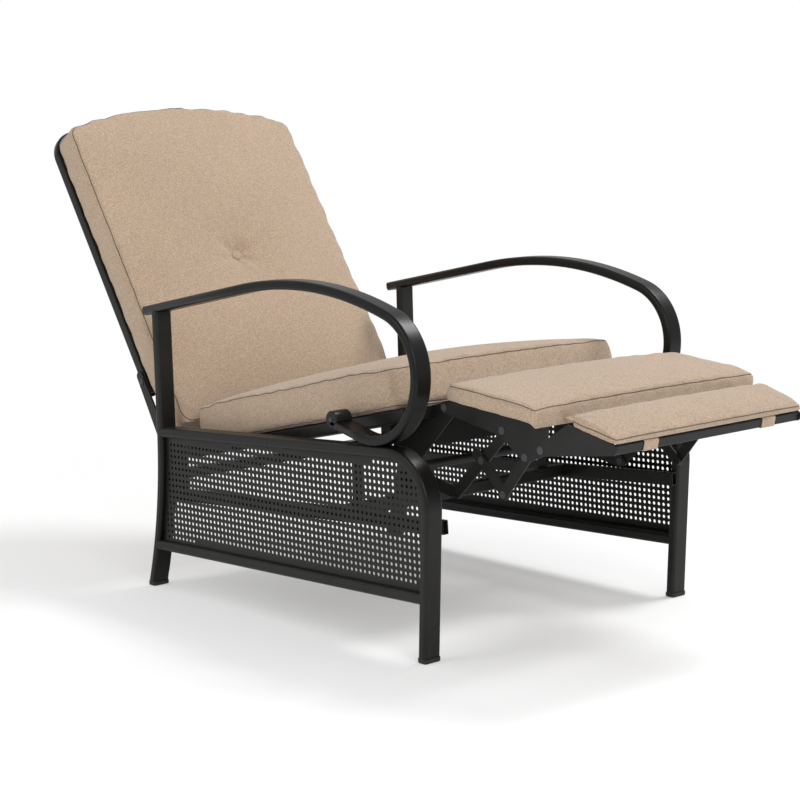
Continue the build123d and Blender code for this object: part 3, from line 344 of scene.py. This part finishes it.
def arm_line():
    """Points and headings of the arm's middle line, from its rear end to its tip."""
    heading = arm_heading
    spot = Vector((0.0, *arm_front))
    line = [(Vector((0.0, *arm_rear)), heading), (spot, heading)]
    for radius, turn, steps in arm_bends:
        centre = spot + direction(heading + 90) * radius
        for k in range(1, steps + 1):
            angle = heading + turn * k / steps
            line.append((centre - direction(angle + 90) * radius, angle))
        heading += turn
        spot = line[-1][0]
    line.append((spot + direction(heading) * arm_tail, heading))
    return line


def arm_section(inset=0.0):
    """Section points (x, normal) of the arm's tube, with rounded corners."""
    flat_x, flat_n, corner = arm_half_x - arm_corner, arm_half_n - arm_corner, arm_corner - inset
    points = []
    for cx, cn, first in (
        (flat_x, flat_n, 0),
        (-flat_x, flat_n, 90),
        (-flat_x, -flat_n, 180),
        (flat_x, -flat_n, 270),
    ):
        for k in range(6):
            angle = math.radians(first + 18 * k)
            points.append((cx + corner * math.cos(angle), cn + corner * math.sin(angle)))
    return points


def arm_ring(middle, spot, heading, section):
    normal = direction(heading + 90)
    return [spot + Vector((middle + x, 0.0, 0.0)) + normal * n for x, n in section]


def lathe(centre_x, middle, profile, ring):
    """Closed turned body about an axis along x, from (x, radius) points."""
    vertices = []
    for x, radius in profile:
        for k in range(ring):
            out = direction(360 * k / ring) * radius
            vertices.append(Vector((centre_x + x, middle.y, middle.z)) + out)
    return vertices, skin(len(profile), ring)


def sharpen(obj):
    """Keeps flats flat beside their rounded edges."""
    obj.modifiers.new("normals", "WEIGHTED_NORMAL").keep_sharp = True


def arm_tube(name, middle, line):
    section = arm_section()
    vertices = []
    for spot, heading in line:
        vertices += arm_ring(middle, spot, heading, section)
    tube = piece(name, vertices, skin(len(line), len(section)), coat, "base")
    sharpen(tube)
    return tube


def arm_end_cap(name, middle, start, heading):
    vertices = []
    for reach, inset in cap_steps:
        section = arm_section(inset)
        vertices += arm_ring(middle, start + direction(heading) * reach, heading, section)
    return piece(name, vertices, skin(len(cap_steps), len(section)), plug, "base")


line = arm_line()
tip_spot, tip_heading = line[-1]
tip = tip_spot + direction(tip_heading + 90) * knuckle_rise
for name, side in (("right", -1), ("left", 1)):
    middle = arm_x * side
    tube = arm_tube(f"arm_tube_{name}", middle, line)
    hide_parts(f"arm_{name}")
    knuckle = piece(f"arm_knuckle_{name}", *lathe(middle, tip, knuckle_profile, knuckle_ring), coat, "base")
    sharpen(knuckle)
    profile = screw_profile
    if side < 0:
        profile = [(-x, radius) for x, radius in reversed(screw_profile)]
    face = middle + side * arm_half_x
    screw = piece(f"arm_screw_{name}", *lathe(face, tip, profile, screw_ring), zinc, "base")
    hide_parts("arm_screws")
    cap = arm_end_cap(f"arm_end_cap_{name}", middle, *line[0])
    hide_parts("arm_end_caps")


# Plate across the chair under the front of the seat
plate_half, plate_run, plate_thick = 0.2028, 0.6075, 0.0030
plate_top, plate_foot = -0.0252, -0.0750


def front_plate():
    vertices = []
    for x in (plate_half, -plate_half):
        for end, rise in ((-1, plate_top), (1, plate_top), (1, plate_foot), (-1, plate_foot)):
            vertices.append(seat_rest.world(x, plate_run + end * plate_thick / 2, rise))
    return piece("seat_front_plate", vertices, skin(2, 4), links_coat, "seat", smooth=False)


plate = front_plate()


# Cushions: how the cover is held, sunk and creased
seam_hold, underside, crown_share = 0.012, 0.004, 0.30
dimple_wide, dimple_narrow = (0.010, 0.055), (0.012, 0.026)
button_hold_from, button_hold_fade = 0.016, 0.022
crease_fade, groove_reach, groove_depth = 0.028, 0.009, 0.0020
gather_ring, gather_fade, gather_depth = 0.034, 0.024, 0.0018
gather_folds, gather_turn, top_share = 6, 0.8, 0.8
seam_step = 0.004
welt_radius, welt_lift, welt_sides = 0.0010, 0.0001, 6
stitch_offset, stitch_half, stitch_thick = 0.0050, 0.0016, 0.00035
button_spot = (0.0, 0.382, 0.066)
button_profile = [(0.0, 0.0125), (0.0030, 0.0125), (0.0052, 0.0112), (0.0066, 0.0085), (0.0073, 0.0045)]
button_sunk, above_cushion, button_ring = 0.0015, 0.150, 32
sim_frames = 20


def evaluated_points(obj):
    graph = bpy.context.evaluated_depsgraph_get()
    e = obj.evaluated_get(graph)
    mesh = e.to_mesh()
    points = [v.co.copy() for v in mesh.vertices]
    e.to_mesh_clear()
    return points


def apply_modifiers(obj):
    graph = bpy.context.evaluated_depsgraph_get()
    mesh = bpy.data.meshes.new_from_object(obj.evaluated_get(graph))
    old = obj.data
    obj.modifiers.clear()
    obj.data = mesh
    bpy.data.meshes.remove(old)


def seam_polyline(outline, rest, rise):
    """Closed seam through (x, run) points at a height over the cushion's base."""
    points = []
    for i in range(len(outline)):
        a, b = outline[i], outline[(i + 1) % len(outline)]
        steps = max(1, int(math.hypot(b[0] - a[0], b[1] - a[1]) / seam_step))
        for k in range(steps):
            t = k / steps
            points.append(rest.world(a[0] + (b[0] - a[0]) * t, a[1] + (b[1] - a[1]) * t, rise))
    return points


def rounded_outline(half, start, end, corner, arch=0.0):
    """Outline with rounded corners; arch lifts the middle of the far end."""
    points = []
    for cx, cr, first in (
        (half - corner, start + corner, -90),
        (half - corner, end - corner, 0),
        (corner - half, end - corner, 90),
        (corner - half, start + corner, 180),
    ):
        for k in range(7):
            angle = math.radians(first + 15 * k)
            points.append((cx + corner * math.cos(angle), cr + corner * math.sin(angle)))
        if arch and first == 0:
            for k in range(1, 24):
                x = cx + (corner - half - cx) * k / 24
                points.append((x, end + arch * (1 - (x / (half - corner)) ** 2)))
    return points


def refine(obj, kind, **values):
    """Adds one modifier with its settings and applies it."""
    modifier = obj.modifiers.new("refine", kind)
    for key, value in values.items():
        setattr(modifier, key, value)
    apply_modifiers(obj)


def inflate(obj, pinned, pressure, cap):
    """Blows the cover up by a cloth simulation, no further than the cap."""
    mesh = obj.data
    start = [v.co.copy() for v in mesh.vertices]
    group = obj.vertex_groups.new(name="held")
    for i, weight in enumerate(pinned):
        if weight > 0:
            group.add([i], weight, "REPLACE")
    modifier = obj.modifiers.new("cloth", "CLOTH")
    settings = modifier.settings
    settings.quality = 4
    settings.mass = 0.25
    settings.tension_stiffness = 12
    settings.compression_stiffness = 10
    settings.shear_stiffness = 5
    settings.bending_stiffness = 0.6
    settings.vertex_group_mass = "held"
    settings.use_pressure = True
    settings.uniform_pressure_force = pressure
    settings.effector_weights.gravity = 0
    modifier.collision_settings.use_collision = False
    modifier.point_cache.frame_start = 1
    modifier.point_cache.frame_end = sim_frames
    scene = bpy.context.scene
    for f in range(1, sim_frames + 1):
        scene.frame_set(f)
    moved = evaluated_points(obj)
    obj.modifiers.clear()
    obj.vertex_groups.clear()
    scene.frame_set(1)
    for v, a, b in zip(mesh.vertices, start, moved):
        step = b - a
        if step.length > cap:
            step *= cap / step.length
        v.co = a + step


def seam_tree(lines):
    points = [p for line in lines for p in line]
    tree = KDTree(len(points))
    for i, p in enumerate(points):
        tree.insert(p, i)
    tree.balance()
    return tree


def lay_cover(obj, rest, rise, tree, button):
    """Lowers the crown, moves the dimple to the button, and says how firmly each point is held."""
    pinned = []
    for v in obj.data.vertices:
        x, run, up = rest.local(v.co)
        if button and up > rise and math.hypot(x, run - cad_button_run) < cad_dimple_reach:
            v.co += rest.up * (rise + back_crown * (1 - (x / back_half) ** 2) - up)
            up = rest.local(v.co)[2]
        if up > rise:
            v.co -= rest.up * (up - rise) * crown_share
        if button and up > rise:
            away = math.hypot(x - button[0], run - button[1])
            for depth, reach in (dimple_wide, dimple_narrow):
                v.co -= rest.up * depth * math.exp(-((away / reach) ** 2))
        hold = 1.0 - tree.find(v.co)[2] / seam_hold
        if up < underside:
            hold = 1.0
        if button:
            away = (v.co - rest.world(*button)).length
            hold = max(hold, 1.0 - max(0.0, away - button_hold_from) / button_hold_fade)
        pinned.append(min(1.0, max(0.0, hold)))
    return pinned


def fold(x, run):
    """Irregular pattern of small creases, between -1 and 1."""
    return math.sin(x * 95 + 3 * math.sin(run * 17)) * math.sin(run * 90 + 2.4 * math.sin(x * 21))


def crease(obj, rest, rise, tree, button, shape):
    """Creases that run into the seams, folds that gather at the button, and sunk seams."""
    mesh = obj.data
    normals = [v.normal.copy() for v in mesh.vertices]
    for v, normal in zip(mesh.vertices, normals):
        x, run, up = rest.local(v.co)
        near = tree.find(v.co)[2]
        if up > underside:
            v.co += normal * shape["puckers"] * fold(x, run) * math.exp(-(near / crease_fade))
        if button and up > rise * top_share:
            away = v.co - rest.world(*button)
            flat = away - rest.up * away.dot(rest.up)
            angle = math.atan2(flat.dot(rest.run), flat.x)
            ring = math.exp(-(((flat.length - gather_ring) / gather_fade) ** 2))
            v.co += rest.up * gather_depth * math.cos(gather_folds * angle + gather_turn) * ring
        if near < groove_reach:
            v.co -= normal * groove_depth * (0.5 + 0.5 * math.cos(math.pi * near / groove_reach))
        v.co.x *= shape["widen"]
    mesh.update()
    for f in mesh.polygons:
        f.use_smooth = True


def make_cushion(name, cad_node, body, rest, outline, rise, seams, shape, button=None):
    """Cloth-simulated cushion over its CAD form, with sunk seams and stitches."""
    mesh = frame["nodes"][cad_node].data.copy()
    mesh.materials.clear()
    mesh.materials.append(fabric)
    obj = bpy.data.objects.new(name, mesh)
    bpy.context.scene.collection.objects.link(obj)
    refine(obj, "REMESH", mode="VOXEL", voxel_size=shape["voxel"])
    refine(obj, "SMOOTH", factor=0.5, iterations=3)
    lines = [seam_polyline(outline, rest, level) for level in seams]
    tree = seam_tree(lines)
    pinned = lay_cover(obj, rest, rise, tree, button)
    inflate(obj, pinned, shape["pressure"], shape["cap"])
    refine(obj, "SUBSURF", levels=1, render_levels=1)
    crease(obj, rest, rise, tree, button, shape)
    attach(obj, body)
    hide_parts(cad_node)
    for line in lines:
        for p in line:
            p.x *= shape["widen"]
    sew(name, obj, lines, rest, body)
    return obj


def surface_of(obj):
    mesh = obj.data
    return BVHTree.FromPolygons([v.co for v in mesh.vertices], [list(p.vertices) for p in mesh.polygons])


def seam_frames(surface, line):
    """Nearest place on the cover to each seam point, with the normal, the way ahead and across."""
    path = [surface.find_nearest(p)[:2] for p in line]
    frames = []
    for i, (p, n) in enumerate(path):
        ahead = (path[(i + 1) % len(path)][0] - path[i - 1][0]).normalized()
        frames.append((p, n, ahead, ahead.cross(n).normalized()))
    return frames


def welt_loop(frames, first):
    """Closed round cord along a seam; its points are numbered from the first."""
    vertices, faces = [], []
    for p, n, ahead, across in frames:
        for k in range(welt_sides):
            angle = 2 * math.pi * k / welt_sides
            out = across * math.cos(angle) + n * math.sin(angle)
            vertices.append(p + n * welt_lift + out * welt_radius)
    for i in range(len(frames)):
        a = first + i * welt_sides
        b = first + (i + 1) % len(frames) * welt_sides
        for k in range(welt_sides):
            m = (k + 1) % welt_sides
            faces.append([a + k, a + m, b + m, b + k])
    return vertices, faces


def stitch(surface, place, rest, first):
    """One short stitch beside a seam, on the side that is lower on the cushion."""
    p, n, ahead, across = place
    inward = -1 if across.dot(rest.up) > 0 else 1
    q, m = surface.find_nearest(p + across * inward * stitch_offset)[:2]
    half, wide, tall = ahead * stitch_half, ahead.cross(m) * stitch_thick, m * stitch_thick
    vertices = [q + half * end + off for end in (-1, 1) for off in (wide, tall, -wide, -tall * 0.5)]
    return vertices, [[first + k for k in face] for face in skin(2, 4)]


def sew(name, obj, lines, rest, body):
    """A thin welt in each seam, coloured dark as painted shadow in the seam, and a row of stitches beside
    it.
    """
    surface = surface_of(obj)
    vertices, faces = [], []
    stitch_vertices, stitch_faces = [], []
    for line in lines:
        frames = seam_frames(surface, line)
        points, loop = welt_loop(frames, len(vertices))
        vertices += points
        faces += loop
        for place in frames[::2]:
            points, sides = stitch(surface, place, rest, len(stitch_vertices))
            stitch_vertices += points
            stitch_faces += sides
    # The welt's dark colour is painted shadow in the seam
    seam_shadow_welt = piece(f"{name}_seams", vertices, faces, shade, body)
    stitches = piece(f"{name}_stitches", stitch_vertices, stitch_faces, thread, body)


make_cushion(
    "seat_cushion_cover", "seat_cushion", "seat", seat_rest,
    rounded_outline(half=0.279, start=0.002, end=0.610, corner=0.012), rise=0.078, seams=[0.074, 0.004],
    shape={"voxel": 0.008, "pressure": 4.0, "cap": 0.022, "puckers": 0.0016, "widen": 1.02},
)
back_cover = make_cushion(
    "back_cushion_cover", "back_cushion", "back", back_rest,
    rounded_outline(half=back_half, start=0.017, end=0.727, corner=0.032, arch=0.034),
    rise=0.072, seams=[0.068, 0.003],
    shape={"voxel": 0.008, "pressure": 4.0, "cap": 0.022, "puckers": 0.0015, "widen": 1.025},
    button=button_spot,
)
make_cushion(
    "footrest_pad_cover", "footrest_pad", "footrest", foot_rest,
    rounded_outline(half=0.279, start=0.002, end=0.215, corner=0.010), rise=0.033, seams=[0.029],
    shape={"voxel": 0.005, "pressure": 3.0, "cap": 0.010, "puckers": 0.0012, "widen": 1.01},
)
make_cushion(
    "flap_pad_cover", "flap_pad", "flap", flap_rest,
    rounded_outline(half=0.236, start=0.002, end=0.100, corner=0.008), rise=0.020, seams=[0.010],
    shape={"voxel": 0.004, "pressure": 3.0, "cap": 0.008, "puckers": 0.0010, "widen": 1.01},
)


def covered_button():
    """Button that stands in the dimple of the back cushion."""
    over = back_rest.world(button_spot[0], button_spot[1], above_cushion)
    base = surface_of(back_cover).ray_cast(over, -back_rest.up)[0] - back_rest.up * button_sunk
    vertices = []
    for rise, radius in button_profile:
        for k in range(button_ring):
            angle = 2 * math.pi * k / button_ring
            across = Vector((math.cos(angle) * radius, 0.0, 0.0)) + back_rest.run * math.sin(angle) * radius
            vertices.append(base + across + back_rest.up * rise)
    return piece("tufting_button", vertices, skin(len(button_profile), button_ring), fabric, "back")


button = covered_button()
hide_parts("back_button")


# Cloth ties
tie_half, tie_thick = 0.009, 0.0012
seat_tie_x, flap_tie_x = 0.235, 0.205
seat_tie_ends, seat_tie_sag = ((-0.318, 0.432), (-0.447, 0.458)), 0.004
flap_tie_ends, flap_tie_sag = ((-0.650, 0.440), (-0.702, 0.436)), 0.005


def strap(points, x_centre):
    """Cloth strip along (y, z) points."""
    vertices = []
    for i, (y, z) in enumerate(points):
        a, b = points[max(i - 1, 0)], points[min(i + 1, len(points) - 1)]
        along = Vector((0, b[0] - a[0], b[1] - a[1])).normalized()
        out = Vector((0, -along.z, along.y))
        for x, o in ((-1, 1), (1, 1), (1, -1), (-1, -1)):
            vertices.append(Vector((x_centre + x * tie_half, y, z)) + out * o * tie_thick / 2)
    return vertices, skin(len(points), 4)


def sagging(start, end, sag, steps=14):
    points = []
    for i in range(steps + 1):
        t = i / steps
        y = start[0] + (end[0] - start[0]) * t
        points.append((y, start[1] + (end[1] - start[1]) * t - sag * 4 * t * (1 - t)))
    return points


for name, side in (("right", -1), ("left", 1)):
    x, ends = side * seat_tie_x, seat_tie_ends
    tie = piece(f"seat_tie_{name}", *strap(sagging(*ends, seat_tie_sag), x), fabric, None)
    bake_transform(tie)
    x, ends = side * flap_tie_x, flap_tie_ends
    tie = piece(f"flap_tie_{name}", *strap(sagging(*ends, flap_tie_sag), x), fabric, None)
    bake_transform(tie)


# Floor, light and camera
floor_half, floor_drop = 9, 0.0005
fade_from, fade_to, least_white = 1.0, 2.3, 0.3
sky_strength = 0.68
camera_place, camera_lens = (-2.4776, -2.87502, 0.93279), 87.4
camera_yaw, camera_pitch, camera_roll = 49.258, -8.275, -1.528


def floor():
    """Pale floor that grows white towards its edge as the camera sees it."""
    vertices = [(x * floor_half, y * floor_half, 0) for x, y in ((-1, -1), (1, -1), (1, 1), (-1, 1))]
    m, tree, shader = new_material("pale_floor")
    shader.inputs["Base Color"].default_value = (0.94, 0.94, 0.94, 1.0)
    shader.inputs["Roughness"].default_value = 0.95
    shader.inputs["Specular IOR Level"].default_value = 0.05
    link = tree.links.new
    where = tree.nodes.new("ShaderNodeTexCoord")
    far = node(tree, "ShaderNodeVectorMath", operation="LENGTH")
    link(where.outputs["Object"], far.inputs[0])
    fade = node(tree, "ShaderNodeMapRange", From_Min=fade_from, From_Max=fade_to, To_Min=least_white)
    fade.interpolation_type = "SMOOTHSTEP"
    link(far.outputs["Value"], fade.inputs["Value"])
    rays = tree.nodes.new("ShaderNodeLightPath")
    amount = node(tree, "ShaderNodeMath", operation="MULTIPLY")
    link(fade.outputs["Result"], amount.inputs[0])
    link(rays.outputs["Is Camera Ray"], amount.inputs[1])
    white = node(tree, "ShaderNodeEmission", Strength=1.0)
    white.inputs["Color"].default_value = (1, 1, 1, 1)
    mixed = tree.nodes.new("ShaderNodeMixShader")
    link(amount.outputs["Value"], mixed.inputs["Fac"])
    link(shader.outputs["BSDF"], mixed.inputs[1])
    link(white.outputs["Emission"], mixed.inputs[2])
    out = next(n for n in tree.nodes if n.bl_idname == "ShaderNodeOutputMaterial")
    link(mixed.outputs["Shader"], out.inputs["Surface"])
    mesh = bpy.data.meshes.new("floor")
    mesh.from_pydata(vertices, [], [(0, 1, 2, 3)])
    mesh.materials.append(m)
    obj = bpy.data.objects.new("floor", mesh)
    obj.location.z = -floor_drop
    bpy.context.scene.collection.objects.link(obj)


def sky():
    """White to the camera, and an even light to the object."""
    world = bpy.data.worlds.new("studio")
    bpy.context.scene.world = world
    world.use_nodes = True
    tree = world.node_tree
    tree.nodes.clear()
    out = tree.nodes.new("ShaderNodeOutputWorld")
    rays = tree.nodes.new("ShaderNodeLightPath")
    seen = node(tree, "ShaderNodeBackground", Strength=1.0)
    seen.inputs["Color"].default_value = (1, 1, 1, 1)
    lit = node(tree, "ShaderNodeBackground", Strength=sky_strength)
    lit.inputs["Color"].default_value = (1, 1, 1, 1)
    choose = tree.nodes.new("ShaderNodeMixShader")
    tree.links.new(rays.outputs["Is Camera Ray"], choose.inputs["Fac"])
    tree.links.new(lit.outputs["Background"], choose.inputs[1])
    tree.links.new(seen.outputs["Background"], choose.inputs[2])
    tree.links.new(choose.outputs["Shader"], out.inputs["Surface"])


def area_light(name, place, aim, size, power):
    data = bpy.data.lights.new(name, "AREA")
    data.shape = "DISK"
    data.size = size
    data.energy = power
    obj = bpy.data.objects.new(name, data)
    obj.location = place
    obj.rotation_mode = "QUATERNION"
    obj.rotation_quaternion = (Vector(aim) - Vector(place)).to_track_quat("-Z", "Y")
    bpy.context.scene.collection.objects.link(obj)


def place_camera():
    yaw, pitch, roll = (math.radians(angle) for angle in (camera_yaw, camera_pitch, camera_roll))
    ahead = Vector((math.cos(pitch) * math.cos(yaw), math.cos(pitch) * math.sin(yaw), math.sin(pitch)))
    level = Vector((math.sin(yaw), -math.cos(yaw), 0.0))
    upright = level.cross(ahead)
    right = level * math.cos(roll) + upright * math.sin(roll)
    up = upright * math.cos(roll) - level * math.sin(roll)
    data = bpy.data.cameras.new("camera")
    data.sensor_width = 36
    data.lens = camera_lens
    camera = bpy.data.objects.new("camera", data)
    camera.rotation_mode = "QUATERNION"
    camera.rotation_quaternion = Matrix((right, up, -ahead)).transposed().to_quaternion()
    camera.location = camera_place
    bpy.context.scene.collection.objects.link(camera)
    bpy.context.scene.camera = camera


floor()
sky()
area_light("key", (2.5, -0.9, 4.2), (0, 0, 0.3), size=1.6, power=130)
area_light("front", (-1.6, -3.4, 2.2), (0, 0, 0.4), size=2.4, power=45)
area_light("side", (-3.4, 0.6, 1.9), (0, 0, 0.4), size=2.0, power=26)
place_camera()
bpy.context.scene.view_settings.view_transform = "Standard"
